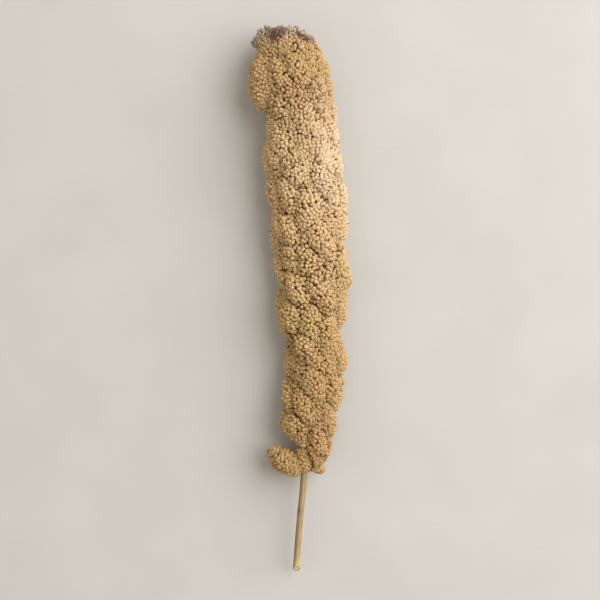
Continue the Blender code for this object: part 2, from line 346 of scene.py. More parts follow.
def smooth_curve(knots, steps):
    """Evenly spaced points on a smooth curve through the knots, which may have any number of columns."""
    knots = np.array(knots, float)
    padded = np.vstack([2 * knots[0] - knots[1], knots, 2 * knots[-1] - knots[-2]])
    fine = []
    for a, b, c, d in zip(padded, padded[1:], padded[2:], padded[3:]):
        for t in np.arange(CURVE_SAMPLES) / CURVE_SAMPLES:
            bend = (2 * a - 5 * b + 4 * c - d) * t**2 + (3 * b - a - 3 * c + d) * t**3
            fine.append(b + ((c - a) * t + bend) / 2)
    fine = np.array([*fine, knots[-1]])
    walked = distance_walked(fine)
    wanted = np.linspace(0, walked[-1], steps)
    return np.column_stack([np.interp(wanted, walked, column) for column in fine.T])


def column_rings():
    """The head's cross sections: for each its centre, its half width vector and its half height vector."""
    rows = smooth_curve(OUTLINE, OUTLINE_STEPS)
    left, right, half_height = rows[:, 0:2], rows[:, 2:4], rows[:, 4:5]
    middle = (left + right) / 2
    along = middle[:, 1]
    height = AXIS_AT_BASE + AXIS_RISE * along + AXIS_SAG * ((along - SAG_MIDDLE) / SAG_REACH) ** 2
    centre = np.column_stack([middle, height])
    across = np.column_stack([(right - left) / 2, np.zeros(len(rows))])
    return np.stack([centre, across, np.maximum(half_height, 0) * UP], axis=1)


def heading_vector(heading):
    angle = math.radians(heading)
    return np.array((math.cos(angle), math.sin(angle), 0.0))


def cluster_rings(centre, half_sizes, heading):
    """The cross sections of an ellipsoid whose length lies level at the heading."""
    half_length, half_width, half_height = half_sizes
    along = heading_vector(heading)
    sweep = np.linspace(0, math.pi, CLUSTER_STEPS)[:, None]
    middle = np.array(centre) - along * half_length * np.cos(sweep)
    across = np.cross(along, UP) * half_width * np.sin(sweep)
    return np.stack([middle, across, UP * half_height * np.sin(sweep)], axis=1)


def rings_at(rings, stations):
    first = np.clip(stations.astype(int), 0, len(rings) - 2)
    share = (stations - first)[:, None, None]
    return rings[first] * (1 - share) + rings[first + 1] * share


def surface_points(rings, stations, angles):
    found = rings_at(rings, stations)
    return found[:, 0] + found[:, 1] * np.cos(angles)[:, None] + found[:, 2] * np.sin(angles)[:, None]


def surface_outward(rings, stations, angles):
    """Unit vectors square to the surface."""
    near = np.clip(stations, SLOPE_STEPS, len(rings) - 1.0 - SLOPE_STEPS)
    before, after = near - SLOPE_STEPS, near + SLOPE_STEPS
    along = surface_points(rings, after, angles) - surface_points(rings, before, angles)
    turn = surface_points(rings, near, angles + SLOPE_TURN) - surface_points(rings, near, angles - SLOPE_TURN)
    return unit(np.cross(along, turn))


def tip_share(points):
    """0 on the body and 1 at the head's tip."""
    return np.clip((points[:, 1] - TIP_START) / TIP_REACH, 0, 1)


def between_ends(points, values):
    """A value for each point, from the first at the head's base to the second at its tip."""
    return np.interp(points[:, 1], (OUTLINE[0][1], OUTLINE[-1][1]), values)


def column_domes(rings):
    """(middles, centres they curve round, how far they are sunk, lengthwise vectors) of the clusters."""
    draw = random.Random(RANDOM_SEED)
    last = len(rings) - 1
    stations, angles, sunk = [], [], []
    for k in range(DOME_COUNT):
        station = last * (k + 0.5) / DOME_COUNT + draw.uniform(-DOME_STRAY_STEPS, DOME_STRAY_STEPS)
        stations.append(min(max(station, 0), last))
        angles.append(k * GOLDEN_ANGLE + draw.uniform(-DOME_STRAY_TURN, DOME_STRAY_TURN))
        sunk.append(draw.uniform(0, DOME_HEIGHT_SPREAD))
    stations, angles = np.array(stations), np.array(angles)
    middles = surface_points(rings, stations, angles)
    outs = surface_outward(rings, stations, angles)
    slant = math.radians(DOME_SLANT)
    lengthwise = unit(math.cos(slant) * TIPWARD + math.sin(slant) * np.cross(outs, TIPWARD))
    return middles, middles - outs * DOME_CURVE_RADIUS, np.array(sunk), lengthwise


def wandered(points):
    """The points moved a little to and fro, which makes the creases wind."""
    x, y, z = (points / WANDER_LENGTH).T
    return points + CREASE_WANDER * np.column_stack([np.sin(y + z), np.sin(z - x), np.sin(x + y)])


def crease_depths(points):
    """How deep the creases between clusters are at each point."""
    return between_ends(points, CREASE_DEPTHS)[:, None]


def dome_shares(points, domes):
    """For each point and dome: 0 at the dome's middle and 1 at its radius. Its length counts for less."""
    middles, _, _, lengthwise = domes
    apart = wandered(points)[:, None] - middles[None]
    along = (apart * lengthwise[None]).sum(axis=2)
    return ((apart**2).sum(axis=2) - (1 - DOME_NARROWNESS**2) * along**2) / DOME_RADIUS**2


def dome_depths(points, domes):
    """(how far the surface lies under the outline, the dome that each point is on)."""
    depths = domes[2] + crease_depths(points) * np.minimum(dome_shares(points, domes), WIDEST_CREASE)
    return depths.min(axis=1), depths.argmin(axis=1)


def from_crevice(points, domes):
    """How far each point is from the crevice between its cluster and the next one."""
    depths = domes[2] / crease_depths(points) + dome_shares(points, domes)
    nearest, second = np.partition(depths, 1, axis=1)[:, :2].T
    return (second - nearest) * DOME_RADIUS**2 / (2 * DOME_WIDTH)


def area_up_to(rings):
    """How much surface there is from the first ring up to each of them."""
    centre, across, up = rings[:, 0], rings[:, 1], rings[:, 2]
    edges = (centre + across, centre - across, centre + up)
    walked = sum(distance_walked(edge) for edge in edges) / len(edges)
    girth = math.pi * (norms(across) + norms(up))
    strip = np.diff(walked) * (girth[1:] + girth[:-1]) / 2
    return np.concatenate([[0], np.cumsum(strip)])


def near_another(point, cell, cells, spacing):
    """Whether a kept point lies nearer than the spacing. cells holds the kept points by their cell."""
    around = itertools.product(*[(place - 1, place, place + 1) for place in cell])
    return any(math.dist(point, other) < spacing for key in around for other in cells.get(key, ()))


def scattered_places(rings, spacing, rng):
    """Stations and angles at random over the surface, none nearer to another than the spacing."""
    area = area_up_to(rings)
    count = int(area[-1] * CANDIDATES_PER_MM2)
    stations = np.interp(rng.uniform(0, area[-1], count), area, np.arange(len(area)))
    angles = rng.uniform(0, FULL_TURN, count)
    points = surface_points(rings, stations, angles)
    cells = {}
    kept = []
    for index, point in enumerate(points.tolist()):
        cell = tuple(int(value // spacing) for value in point)
        if not near_another(point, cell, cells, spacing):
            cells.setdefault(cell, []).append(point)
            kept.append(index)
    return stations[kept], angles[kept]


def search_tree(points):
    tree = KDTree(len(points))
    for index, point in enumerate(points):
        tree.insert(point, index)
    tree.balance()
    return tree


def pushed_apart(points, outs, reach):
    """The points, after neighbours within reach have pushed each other away along the surface."""
    points = points.copy()
    for _ in range(PUSH_ROUNDS):
        tree = search_tree(points)
        move = np.zeros_like(points)
        for index, point in enumerate(points):
            for other, _, distance in tree.find_range(point, reach):
                if distance > SAME_PLACE:
                    move[index] += (point - np.array(other)) * (reach - distance) / distance * PUSH_SHARE
        points += move - outs * (move * outs).sum(axis=1, keepdims=True)
    return points


def supported(points):
    """Which points have enough neighbours round them to be held up."""
    tree = search_tree(points)
    return np.array([len(tree.find_range(point, SUPPORT_REACH)) > FEWEST_NEIGHBOURS for point in points])


def inside_cluster(points, cluster, margin):
    """Which points lie deeper than the margin inside the ellipsoid."""
    centre, half_sizes, heading = cluster
    along = heading_vector(heading)
    axes = np.array([along, np.cross(along, UP), UP])
    local = (points - np.array(centre)) @ axes.T
    return ((local / (np.array(half_sizes) - margin)) ** 2).sum(axis=1) < 1


def inside_column(points, rings, domes, margin):
    """Which points lie deeper than the margin inside the column."""
    line = rings[:, 0]
    stations = np.interp(points[:, 1], line[:, 1], np.arange(len(line)))
    found = rings_at(rings, stations)
    offset = points - found[:, 0]
    half_width, half_height = norms(found[:, 1]), norms(found[:, 2])
    side = offset[:, 0] / np.maximum(half_width, LEAST_HALF_WIDTH)
    rise = offset[:, 2] / np.maximum(half_height, LEAST_HALF_WIDTH)
    depth, _ = dome_depths(surface_points(rings, stations, np.arctan2(rise, side)), domes)
    skin = (depth + margin) / np.maximum(np.minimum(half_width, half_height), LEAST_HALF_IN_DEPTH)
    within = (points[:, 1] > line[0, 1] + margin) & (points[:, 1] < line[-1, 1] - margin)
    return within & (np.hypot(side, rise) < 1 - skin)


def column_grains(rings, domes, spacing, reach, rng):
    """(tips, outward vectors, directions, depths) of the grains that cover the column."""
    stations, angles = scattered_places(rings, spacing, rng)
    points = surface_points(rings, stations, angles)
    outs = surface_outward(rings, stations, angles)
    depths, nearest = dome_depths(points, domes)
    sunk = depths + TIP_SINK * tip_share(points)
    tips = pushed_apart(points - outs * sunk[:, None], outs, reach)
    crevice = np.exp(-((from_crevice(tips + outs * sunk[:, None], domes) / CREVICE_HALF_WIDTH) ** 2))
    crevice *= between_ends(tips, CREVICE_DEPTHS)
    tips = tips - outs * crevice[:, None]
    round_dome = unit(tips - domes[1][nearest])
    directions = unit(OUTWARD_SHARE * outs + DOME_SHARE * round_dome + TIPWARD_SHARE * TIPWARD)
    return tips, outs, directions, depths + crevice


def knobs(points):
    """0 on top of the small knobs of a free cluster and 1 in the hollows between them."""
    x, y, z = (FULL_TURN * points / KNOB_SIZE).T
    pairs = ((x, y), (y, z), (z, x))
    waves = sum(np.sin(a + lean * b + start) for (a, b), (lean, start) in zip(pairs, KNOB_WAVES))
    return np.clip(0.5 - KNOB_STEEPNESS * waves, 0, 1)


def cluster_grains(cluster, spacing, reach, rng):
    """(tips, outward vectors, directions, depths) of the grains that cover a free cluster."""
    rings = cluster_rings(*cluster)
    stations, angles = scattered_places(rings, spacing, rng)
    outs = surface_outward(rings, stations, angles)
    points = surface_points(rings, stations, angles)
    depths = KNOB_DEPTH * knobs(points)
    tips = pushed_apart(points - outs * depths[:, None], outs, reach)
    return tips, outs, outs, depths


def head_grains(rings, domes, spacing, reach, hidden_under, rng):
    """(tips, outward vectors, directions, depths) of all the grains of the head that show."""
    grains = column_grains(rings, domes, spacing, reach, rng)
    kept = ~np.any([inside_cluster(grains[0], cluster, hidden_under) for cluster in FREE_CLUSTERS], axis=0)
    found = [[values[kept] for values in grains]]
    for cluster in FREE_CLUSTERS:
        grains = cluster_grains(cluster, spacing, reach, rng)
        hidden = inside_column(grains[0], rings, domes, hidden_under)
        for other in FREE_CLUSTERS:
            if other is not cluster:
                hidden |= inside_cluster(grains[0], other, hidden_under)
        found.append([values[~hidden] for values in grains])
    joined = [np.concatenate(parts) for parts in zip(*found)]
    held = supported(joined[0])
    return [values[held] for values in joined]


def lump_centres(rings):
    """The middles of the lumps at the tip, a little under the surface."""
    centres = []
    for (x, y), share, _, _ in TIP_LUMPS:
        station = np.interp(y, rings[:, 0, 1], np.arange(len(rings)))
        centre, across, up = rings_at(rings, np.array([station]))[0]
        side = np.clip((x - centre[0]) / max(norms(across), LEAST_HALF_WIDTH), -1, 1)
        top = up[2] * math.sqrt(1 - side**2)
        centres.append((x, y, centre[2] + share * top - LUMP_SINK))
    return np.array(centres)


def lump_distances(points, centres):
    return norms(points[:, None] - centres[None])


def lump_shade(points, centres):
    """The shade of the lump that each point is in, falling to 0 a little way off."""
    clear = lump_distances(points, centres) - LUMP_SIZES
    return (LUMP_SHADES * np.clip(1 - clear / LUMP_SHADE_REACH, 0, 1)).max(axis=1)


def inside_lumps(points, centres):
    return (lump_distances(points, centres) < LUMP_SIZES * LUMP_CORE_SHARE).any(axis=1)


def outside_cracks(tips, directions, rng):
    """Which grains stand clear of the cracks, short lines at random over the surface."""
    clear = np.ones(len(tips), bool)
    for middle in rng.choice(len(tips), CRACK_COUNT, replace=False):
        heading = unit(np.cross(directions[middle], rng.normal(size=3)))
        half_length = rng.uniform(*CRACK_LENGTHS) / 2
        offset = tips - tips[middle]
        along = np.clip(offset @ heading, -half_length, half_length)
        clear &= norms(offset - along[:, None] * heading) > CRACK_HALF_WIDTH
    return clear


def loop_angles(sides):
    """Even angles once round."""
    return FULL_TURN * np.arange(sides) / sides


def tube_points(line, radii, sides, ridges=0, depth=0.0):
    """Rings of points round a line, (steps, sides, 3)."""
    ahead = np.gradient(line, axis=0)
    side = unit(np.cross(ahead, UP))
    rise = np.cross(side, unit(ahead))
    angles = loop_angles(sides)
    lift = 1 - depth * (0.5 - 0.5 * np.cos(ridges * angles))
    level, steep = np.cos(angles) * lift, np.sin(angles) * lift
    spread = side[:, None] * level[None, :, None] + rise[:, None] * steep[None, :, None]
    return line[:, None] + spread * radii[:, None, None]


def stem_course(steps):
    """(points, radii) along the stem."""
    return smooth_curve(STEM_LINE, steps), np.linspace(*STEM_RADII, steps)


def frame_shift():
    """Where the head's own origin lies in the frame, in millimetres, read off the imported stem."""
    own_low = tube_points(*stem_course(PACKED_STEM_STEPS), PACKED_STEM_SIDES).reshape(-1, 3).min(axis=0)
    low = np.array(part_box("stem")[0]) / METRES_PER_MM
    return np.array((*(low - own_low)[:2], 0.0))


def new_object(name, data):
    obj = bpy.data.objects.new(name, data)
    bpy.context.scene.collection.objects.link(obj)
    return obj


def mesh_object(name, points, faces, look, shift, smooth=True):
    """A mesh object from arrays of points (mm) and faces."""
    mesh = bpy.data.meshes.new(name)
    points = (np.asarray(points) + shift) * METRES_PER_MM
    mesh.vertices.add(len(points))
    mesh.vertices.foreach_set("co", points.astype(np.float32).ravel())
    mesh.loops.add(faces.size)
    mesh.loops.foreach_set("vertex_index", faces.astype(np.int32).ravel())
    mesh.polygons.add(len(faces))
    mesh.polygons.foreach_set("loop_start", np.arange(0, faces.size, faces.shape[1], dtype=np.int32))
    mesh.polygons.foreach_set("use_smooth", np.full(len(faces), smooth))
    mesh.update(calc_edges=True)
    mesh.materials.append(look)
    return new_object(name, mesh)


def paint(obj, name, numbers):
    """Stores three numbers for each vertex, as a colour."""
    colours = np.ones((len(obj.data.vertices), 4), np.float32)
    colours[:, :3] = np.reshape(numbers, (-1, 3))
    layer = obj.data.attributes.new(name, "FLOAT_COLOR", "POINT")
    layer.data.foreach_set("color", colours.ravel())


def band_faces(loops, sides, mirrored=False):
    """Triangles that join loops of points, each to the next."""
    start = (np.arange(loops - 1) * sides)[:, None]
    turn = np.arange(sides)
    a, b = (start + turn).ravel(), (start + (turn + 1) % sides).ravel()
    if mirrored:
        a, b = b, a
    return np.vstack([np.column_stack([a, b, b + sides]), np.column_stack([a, b + sides, a + sides])])


def fan_faces(centre, first, sides, mirrored=False):
    """Triangles that join a point to the loop whose points start at the first one."""
    turn = np.arange(sides)
    a, b = first + turn, first + (turn + 1) % sides
    if mirrored:
        a, b = b, a
    return np.column_stack([np.full(sides, centre), a, b])


def template_rings(profile, sides, wrinkle=0.0):
    """Points of level rings, one above the other, with every second point drawn in by the wrinkle."""
    angles = loop_angles(sides)
    drawn_in = 1 - wrinkle * (np.arange(sides) % 2)
    rings = []
    for height, radius in profile:
        reach = radius * drawn_in
        x, y = reach * np.cos(angles), reach * np.sin(angles)
        rings.append(np.column_stack([x, y, np.full(sides, height)]))
    return np.vstack(rings)


def grain_template(profile, sides, wrinkle=0.0):
    """(points, triangles) of one grain of unit length and width that stands on its base."""
    points = np.vstack([(0.0, 0.0, 0.0), template_rings(profile, sides, wrinkle), (0.0, 0.0, 1.0)])
    points[:, 1] *= GRAIN_FLATNESS
    top = len(points) - 1
    base, tip = fan_faces(0, 1, sides, mirrored=True), fan_faces(top, top - sides, sides)
    return points, np.vstack([base, band_faces(len(profile), sides) + 1, tip])


def blade_template(bend):
    """(points, triangles) of a thin blade of unit length that tapers and bends to a point."""
    points = np.vstack([template_rings(BLADE_PROFILE, BLADE_SIDES), (0.0, 0.0, 1.0)])
    points[:, 0] += bend * points[:, 2] ** 2
    top = len(points) - 1
    tip = fan_faces(top, top - BLADE_SIDES, BLADE_SIDES)
    return points, np.vstack([band_faces(len(BLADE_PROFILE), BLADE_SIDES), tip])


def scale_template():
    """(points, triangles) of a small husk that clasps one side of a grain and stands off it at its point."""
    points = []
    for height, radius, spread in SCALE_ROWS:
        for turn in (-spread, 0, spread):
            angle = math.radians(turn)
            points.append((radius * math.cos(angle), radius * math.sin(angle) * GRAIN_FLATNESS, height))
    points.append(SCALE_POINT)
    faces = [(6, 7, 9), (7, 8, 9)]
    for j in (0, 1, 3, 4):
        faces.append((j, j + 1, j + 4))
        faces.append((j, j + 4, j + 3))
    return np.array(points), np.array(faces)


def turned_axes(directions, spins):
    """Two unit vectors square to each direction, turned about it."""
    level = np.abs(directions[:, 2:]) < NEARLY_UPRIGHT
    side = unit(np.cross(directions, np.where(level, UP, TIPWARD)))
    other = np.cross(directions, side)
    cos, sin = np.cos(spins)[:, None], np.sin(spins)[:, None]
    return side * cos + other * sin, other * cos - side * sin


def copies(template, origins, directions, lengths, widths, spins):
    """Points of the template placed at each origin, (copies, points, 3)."""
    first, second = turned_axes(directions, spins)
    x, y, z = [template[None, :, axis, None] for axis in range(3)]
    long, wide = lengths[:, None, None], widths[:, None, None]
    across = x * wide * first[:, None] + y * wide * second[:, None]
    return origins[:, None] + across + z * long * directions[:, None]


def repeated_faces(faces, points_each, count):
    return (faces[None] + (np.arange(count) * points_each)[:, None, None]).reshape(-1, faces.shape[1])


def placed_copies(name, template, places, tint, look, shift, height_share=1.0):
    """One mesh of copies of the template. A height share below 1 draws their foot's ochre further up, as
    painted shade on grains deep in the gaps.

    places is (origins, directions, lengths, widths, spins) and tint is (shades, darkness), darkness holding
    any painted shade.
    """
    points, faces = template
    shades, darkness = tint
    spread = copies(points, *places)
    spread[:, :, 2] = np.maximum(spread[:, :, 2], LEAST_HEIGHT)
    all_faces = repeated_faces(faces, len(points), len(shades))
    made = mesh_object(name, spread.reshape(-1, 3), all_faces, look, shift)
    numbers = np.broadcast_arrays(shades[:, None], points[None, :, 2] * height_share, darkness[:, None])
    paint(made, "grain_tint", np.stack(numbers, axis=-1))
    within = points + (TEMPLATE_MIDDLE, TEMPLATE_MIDDLE, 0.0)
    paint(made, "grain_place", np.broadcast_to(within, spread.shape))
    return made


def tilted(directions, rng, spread, tipward=0.0):
    """The directions, tilted at random and towards the tip."""
    return unit(directions + rng.normal(0, spread, directions.shape) + tipward * TIPWARD)


def grain_darkness_and_shade(tips, depths, centres, rng):
    """How dark each grain is: painted shade that deepens in the creases and hollows, and darker near the
    withered lumps, at the tip and, for some, at random.
    """
    withered = LUMP_DARKENING * lump_shade(tips, centres) + TIP_DARKENING * tip_share(tips)
    count = len(tips)
    dull = np.where(rng.uniform(0, 1, count) < DULL_SHARE, rng.uniform(*DULL_SHADES, count), 0)
    return np.clip(depths / CREASE_SHADE_DEPTH + withered + dull, 0, 1)


def outer_layer(rings, domes, centres, rng):
    """(tips, places, tint, which are dried) of the grains of the outer layer."""
    grains = head_grains(rings, domes, GRAIN_SPACING, PUSH_REACH, GRAINS_HIDDEN_UNDER, rng)
    clear = outside_cracks(grains[0], grains[2], rng) & ~inside_lumps(grains[0], centres)
    tips, _, directions, depths = [values[clear] for values in grains]
    count = len(tips)
    directions = tilted(directions, rng, TILT_SPREAD)
    size = rng.normal(1.0, SIZE_SPREAD, count) * (1 - TIP_SHRINK * tip_share(tips))
    dried = rng.uniform(0, 1, count) < tip_share(tips)
    lengths = GRAIN_LENGTH * size
    widths = GRAIN_WIDTH * size * rng.uniform(*WIDTH_SHARES, count)
    origins = tips + directions * (rng.normal(0, HEIGHT_SPREAD, count) - lengths)[:, None]
    places = (origins, directions, lengths, widths, rng.uniform(0, FULL_TURN, count))
    tint = (rng.uniform(0, 1, count), grain_darkness_and_shade(tips, depths, centres, rng))
    return tips, places, tint, dried


def make_grains(tips, places, tint, dried, look, shift):
    """The sound grains of the outer layer, in several pieces from the base to the tip."""
    template = grain_template(GRAIN_PROFILE, GRAIN_SIDES)
    sound = np.flatnonzero(~dried)
    made = []
    for number, group in enumerate(np.array_split(sound[np.argsort(tips[sound, 1])], GRAIN_PIECES)):
        group_places, group_tint = [[values[group] for values in parts] for parts in (places, tint)]
        made.append(placed_copies(f"grains_{number + 1}", template, group_places, group_tint, look, shift))
    return made


def make_husk_scales(places, tint, rng, look, shift):
    """A papery scale on each grain of the outer layer."""
    origins, directions, lengths, widths, _ = places
    count = len(lengths)
    lengths = lengths * rng.uniform(*SCALE_LENGTHS, count)
    scale_places = (origins, directions, lengths, widths, rng.uniform(0, FULL_TURN, count))
    return placed_copies("husk_scales", scale_template(), scale_places, tint, look, shift)


def make_inner_grains(rings, domes, rng, look, shift):
    """The grains that show in the gaps of the outer layer, painted darker and more ochre as shade."""
    spacing = INNER_SPACING
    tips, outs, directions, _ = head_grains(rings, domes, spacing, spacing, INNER_HIDDEN_UNDER, rng)
    count = len(tips)
    directions = tilted(directions, rng, TILT_SPREAD)
    origins = tips - outs * INNER_DEPTH - directions * GRAIN_LENGTH
    lengths, widths = np.full(count, GRAIN_LENGTH), np.full(count, INNER_WIDTH)
    tint = (rng.uniform(0, 1, count), np.full(count, INNER_PAINTED_SHADE))
    places = (origins, directions, lengths, widths, rng.uniform(0, FULL_TURN, count))
    template = grain_template(INNER_PROFILE, INNER_SIDES)
    return placed_copies("inner_grains", template, places, tint, look, shift, INNER_HEIGHT_SHARE)


def make_bristles(tips, directions, rng, look, shift):
    count = BRISTLE_COUNT
    chosen = rng.choice(len(tips), count, replace=False)
    leaning = tilted(directions[chosen], rng, spread=0.35, tipward=0.3)
    lengths = rng.uniform(*BRISTLE_LENGTHS, count)
    origins = tips[chosen] + rng.normal(0, BRISTLE_STRAY, (count, 3)) - leaning
    tint = (rng.uniform(0, 1, count), tip_share(origins) * BRISTLE_TIP_SHADE)
    places = (origins, leaning, lengths, np.full(count, BRISTLE_WIDTH), rng.uniform(0, FULL_TURN, count))
    return placed_copies("bristles", blade_template(bend=2.2), places, tint, look, shift)


def dried_grains(tips, outward, rng):
    """(origins, directions, darkness) of shrunken grains, several in the place of each dried one."""
    tips, outward = [np.repeat(values, DRIED_FOR_EACH, axis=0) for values in (tips, outward)]
    directions = tilted(outward, rng, spread=0.3)
    origins = tips + rng.normal(0, DRIED_STRAY, tips.shape) - directions * WITHERED_LENGTH
    return origins, directions, rng.uniform(*DRIED_SHADES, len(tips))


def lump_grains(centres, rng):
    """(origins, directions, darkness) of shrunken grains, crowded into the lumps of the tip."""
    origins, directions, darkness = [], [], []
    for centre, half_size, shade in zip(centres, LUMP_SIZES, LUMP_SHADES):
        for _ in range(GRAINS_PER_LUMP):
            outward = unit(rng.normal(size=3))
            uneven = 1 + LUMP_UNEVENNESS * math.sin(LUMP_WAVES * outward @ centre)
            reach = half_size * uneven * rng.uniform(*LUMP_REACHES) - WITHERED_LENGTH * LUMP_ROOT_SHARE
            origins.append(centre + outward * reach)
            directions.append(tilted(outward, rng, spread=0.35, tipward=0.4))
            darkness.append(min(shade * rng.uniform(*LUMP_SHADE_SHARES), 1))
    return np.array(origins), np.array(directions), np.array(darkness)


def make_withered_grains(centres, dried_tips, dried_outward, rng, look, shift):
    groups = (dried_grains(dried_tips, dried_outward, rng), lump_grains(centres, rng))
    origins, directions, darkness = [np.concatenate(parts) for parts in zip(*groups)]
    count = len(origins)
    size = rng.uniform(*WITHERED_SIZES, count)
    lengths, widths = WITHERED_LENGTH * size, WITHERED_WIDTH * size
    places = (origins, directions, lengths, widths, rng.uniform(0, FULL_TURN, count))
    tint = (rng.uniform(0, 1, count), darkness)
    template = grain_template(WITHERED_PROFILE, WITHERED_SIDES, WRINKLE)
    return placed_copies("withered_grains", template, places, tint, look, shift)


def make_bracts(centres, rng, look, shift):
    """Dry bracts that stand out between the withered grains."""
    count = BRACT_COUNT
    chosen = rng.integers(0, len(TIP_LUMPS), count)
    directions = unit(rng.normal(size=(count, 3)) + BRACT_TIPWARD * TIPWARD + BRACT_UPWARD * UP)
    lengths = rng.uniform(*BRACT_LENGTHS, count)
    reach = LUMP_SIZES[chosen] + BRACT_STANDOFF - lengths
    origins = centres[chosen] + directions * reach[:, None]
    widths = BRACT_WIDTH * rng.uniform(*BRACT_WIDTH_SHARES, count)
    places = (origins, directions, lengths, widths, rng.uniform(0, FULL_TURN, count))
    tint = (rng.uniform(0, 1, count), rng.uniform(*BRACT_SHADES, count))
    return placed_copies("tip_bracts", blade_template(bend=0.3), places, tint, look, shift)


def make_core(name, rings, steps, sides, look, shift, domes=None):
    """A skin of chaff deep under the surface, seen only between the grains."""
    stations = np.repeat(np.linspace(0, len(rings) - 1, steps), sides)
    angles = np.tile(loop_angles(sides), steps)
    points = surface_points(rings, stations, angles)
    depth = dome_depths(points, domes)[0] if domes else np.zeros(len(points))
    points = points - surface_outward(rings, stations, angles) * (depth + CORE_DEPTH)[:, None]
    points[:, 2] = np.maximum(points[:, 2], CORE_LEAST_HEIGHT)
    return mesh_object(name, points, band_faces(steps, sides, mirrored=True), look, shift)


def make_cores(rings, domes, look, shift):
    made = [make_core("head_core", rings, *HEAD_CORE_GRID, look, shift, domes)]
    for number, cluster in enumerate(FREE_CLUSTERS):
        name = f"cluster_core_{number + 1}"
        made.append(make_core(name, cluster_rings(*cluster), *CLUSTER_CORE_GRID, look, shift))
    return made


def stem_rings():
    """Rings of points round the straw, which flares towards its cut end and is cut slantwise."""
    line, radii = stem_course(STEM_STEPS)
    walked = distance_walked(line)
    near_end = np.clip(1 - (walked[-1] - walked) / FLARE_LENGTH, 0, 1)
    flared = radii * (1 + FLARE * near_end**2)
    rings = tube_points(line, flared, STEM_SIDES, STEM_RIDGES, STEM_RIDGE_DEPTH)
    above_lowest = rings[:, :, 2] - rings[:, :, 2].min(axis=1, keepdims=True)
    slant = SLANT * near_end[:, None] * above_lowest
    return rings - slant[:, :, None] * unit(line[-1] - line[-2])


def stem_faces(loops):
    """Triangles of the loops and of both ends, whose middle points follow the loops'."""
    middle = loops * STEM_SIDES
    cut = fan_faces(middle, middle - STEM_SIDES, STEM_SIDES, mirrored=True)
    head_end = fan_faces(middle + 1, 0, STEM_SIDES)
    return np.vstack([band_faces(loops, STEM_SIDES, mirrored=True), cut, head_end])


def make_stem(look, shift):
    rings = stem_rings()
    middle = rings[-1].mean(axis=0)
    cut = [middle + (rings[-1] - middle) * share for share, _ in CUT_RINGS]
    points = np.vstack([rings.reshape(-1, 3), *cut, middle, rings[0].mean(axis=0)])
    obj = mesh_object("stem_straw", points, stem_faces(STEM_STEPS + len(CUT_RINGS)), look, shift)
    obj.data.set_sharp_from_angle(angle=STEM_SHARP_EDGE)
    turn = FULL_TURN * (np.arange(len(points)) % STEM_SIDES) / STEM_SIDES
    pith = np.repeat([0.0] * STEM_STEPS + [pale for _, pale in CUT_RINGS], STEM_SIDES)
    stain = np.exp(-(((points - STAIN_PLACE) / STAIN_REACH) ** 2).sum(axis=1))
    # The second number grows towards the stem's left side, which the material browns as painted shade.
    paint(obj, "stem_tint", np.column_stack([[*pith, 1.0, 0.0], 0.5 + 0.5 * np.cos(turn), stain]))
    return obj


def linear_colour(red, green, blue):
    """The shader's colour for an 8-bit screen colour."""

    def channel(value):
        share = value / 255
        return share / 12.92 if share <= 0.04045 else ((share + 0.055) / 1.055) ** 2.4

    return (channel(red), channel(green), channel(blue), 1.0)


def new_material(name):
    material = bpy.data.materials.new(name)
    material.use_nodes = True
    tree = material.node_tree
    return material, tree, tree.nodes["Principled BSDF"]


def feed(node, inputs):
    """Gives the node's inputs their plain values, screen colours or other nodes' outputs."""
    for name, value in inputs.items():
        socket = node.inputs[name]
        if isinstance(value, bpy.types.NodeSocket):
            node.id_data.links.new(value, socket)
        else:
            socket.default_value = linear_colour(*value) if socket.type == "RGBA" else value


def add_node(tree, kind, inputs=None, **fields):
    node = tree.nodes.new(f"ShaderNode{kind}")
    for field, value in fields.items():
        setattr(node, field, value)
    feed(node, inputs or {})
    return node


def ramp(tree, source, stops):
    """The source turned into a colour or another number. stops is ((place, colour or number), ...)."""
    node = add_node(tree, "ValToRGB", {"Fac": source})
    elements = node.color_ramp.elements
    while len(elements) < len(stops):
        elements.new(0.5)
    for element, (place, value) in zip(elements, stops):
        element.position = place
        element.color = linear_colour(*value) if isinstance(value, tuple) else (value, value, value, 1.0)
    return node.outputs["Color"]


def mixed(tree, share, first, second, blend="MIX"):
    """The first colour, blended towards the second by the share."""
    inputs = {MIX_SHARE: share, MIX_FIRST: first, MIX_SECOND: second}
    return add_node(tree, "Mix", inputs, data_type="RGBA", blend_type=blend).outputs[MIX_RESULT]


def layered(tree, base, layers):
    """The base under layers. Each is (colour, what its share follows, stops)."""
    for colour, source, stops in layers:
        base = mixed(tree, ramp(tree, source, stops), base, colour)
    return base


def computed(tree, operation, *values):
    return add_node(tree, "Math", dict(enumerate(values)), operation=operation).outputs["Value"]


def component(tree, vector, axis):
    """One number of a vector: 0 is X, 1 is Y and 2 is Z."""
    return add_node(tree, "SeparateXYZ", {"Vector": vector}).outputs[axis]


def stretched(tree, vector, scale):
    return add_node(tree, "Mapping", {"Vector": vector, "Scale": scale}).outputs["Vector"]


def object_place(tree):
    return add_node(tree, "TexCoord").outputs["Object"]


def painted(tree, name):
    """The three numbers that were painted on each point."""
    colour = add_node(tree, "Attribute", attribute_name=name).outputs["Color"]
    return list(add_node(tree, "SeparateColor", {"Color": colour}).outputs)


def noise(tree, scale, detail=2.0, roughness=0.5, stretch=None):
    """A noise value over the object's own coordinates. The scale is in features per metre."""
    place = object_place(tree)
    if stretch:
        place = stretched(tree, place, stretch)
    inputs = {"Vector": place, "Scale": scale, "Detail": detail, "Roughness": roughness}
    return add_node(tree, "TexNoise", inputs).outputs["Fac"]


def finish_surface(shader, colour, roughness, height, strength, distance):
    """Gives the shader its colour, its roughness and a fine relief."""
    inputs = {"Height": height, "Strength": strength, "Distance": distance}
    relief = add_node(shader.id_data, "Bump", inputs).outputs["Normal"]
    feed(shader, {"Base Color": colour, "Roughness": roughness, "Normal": relief})


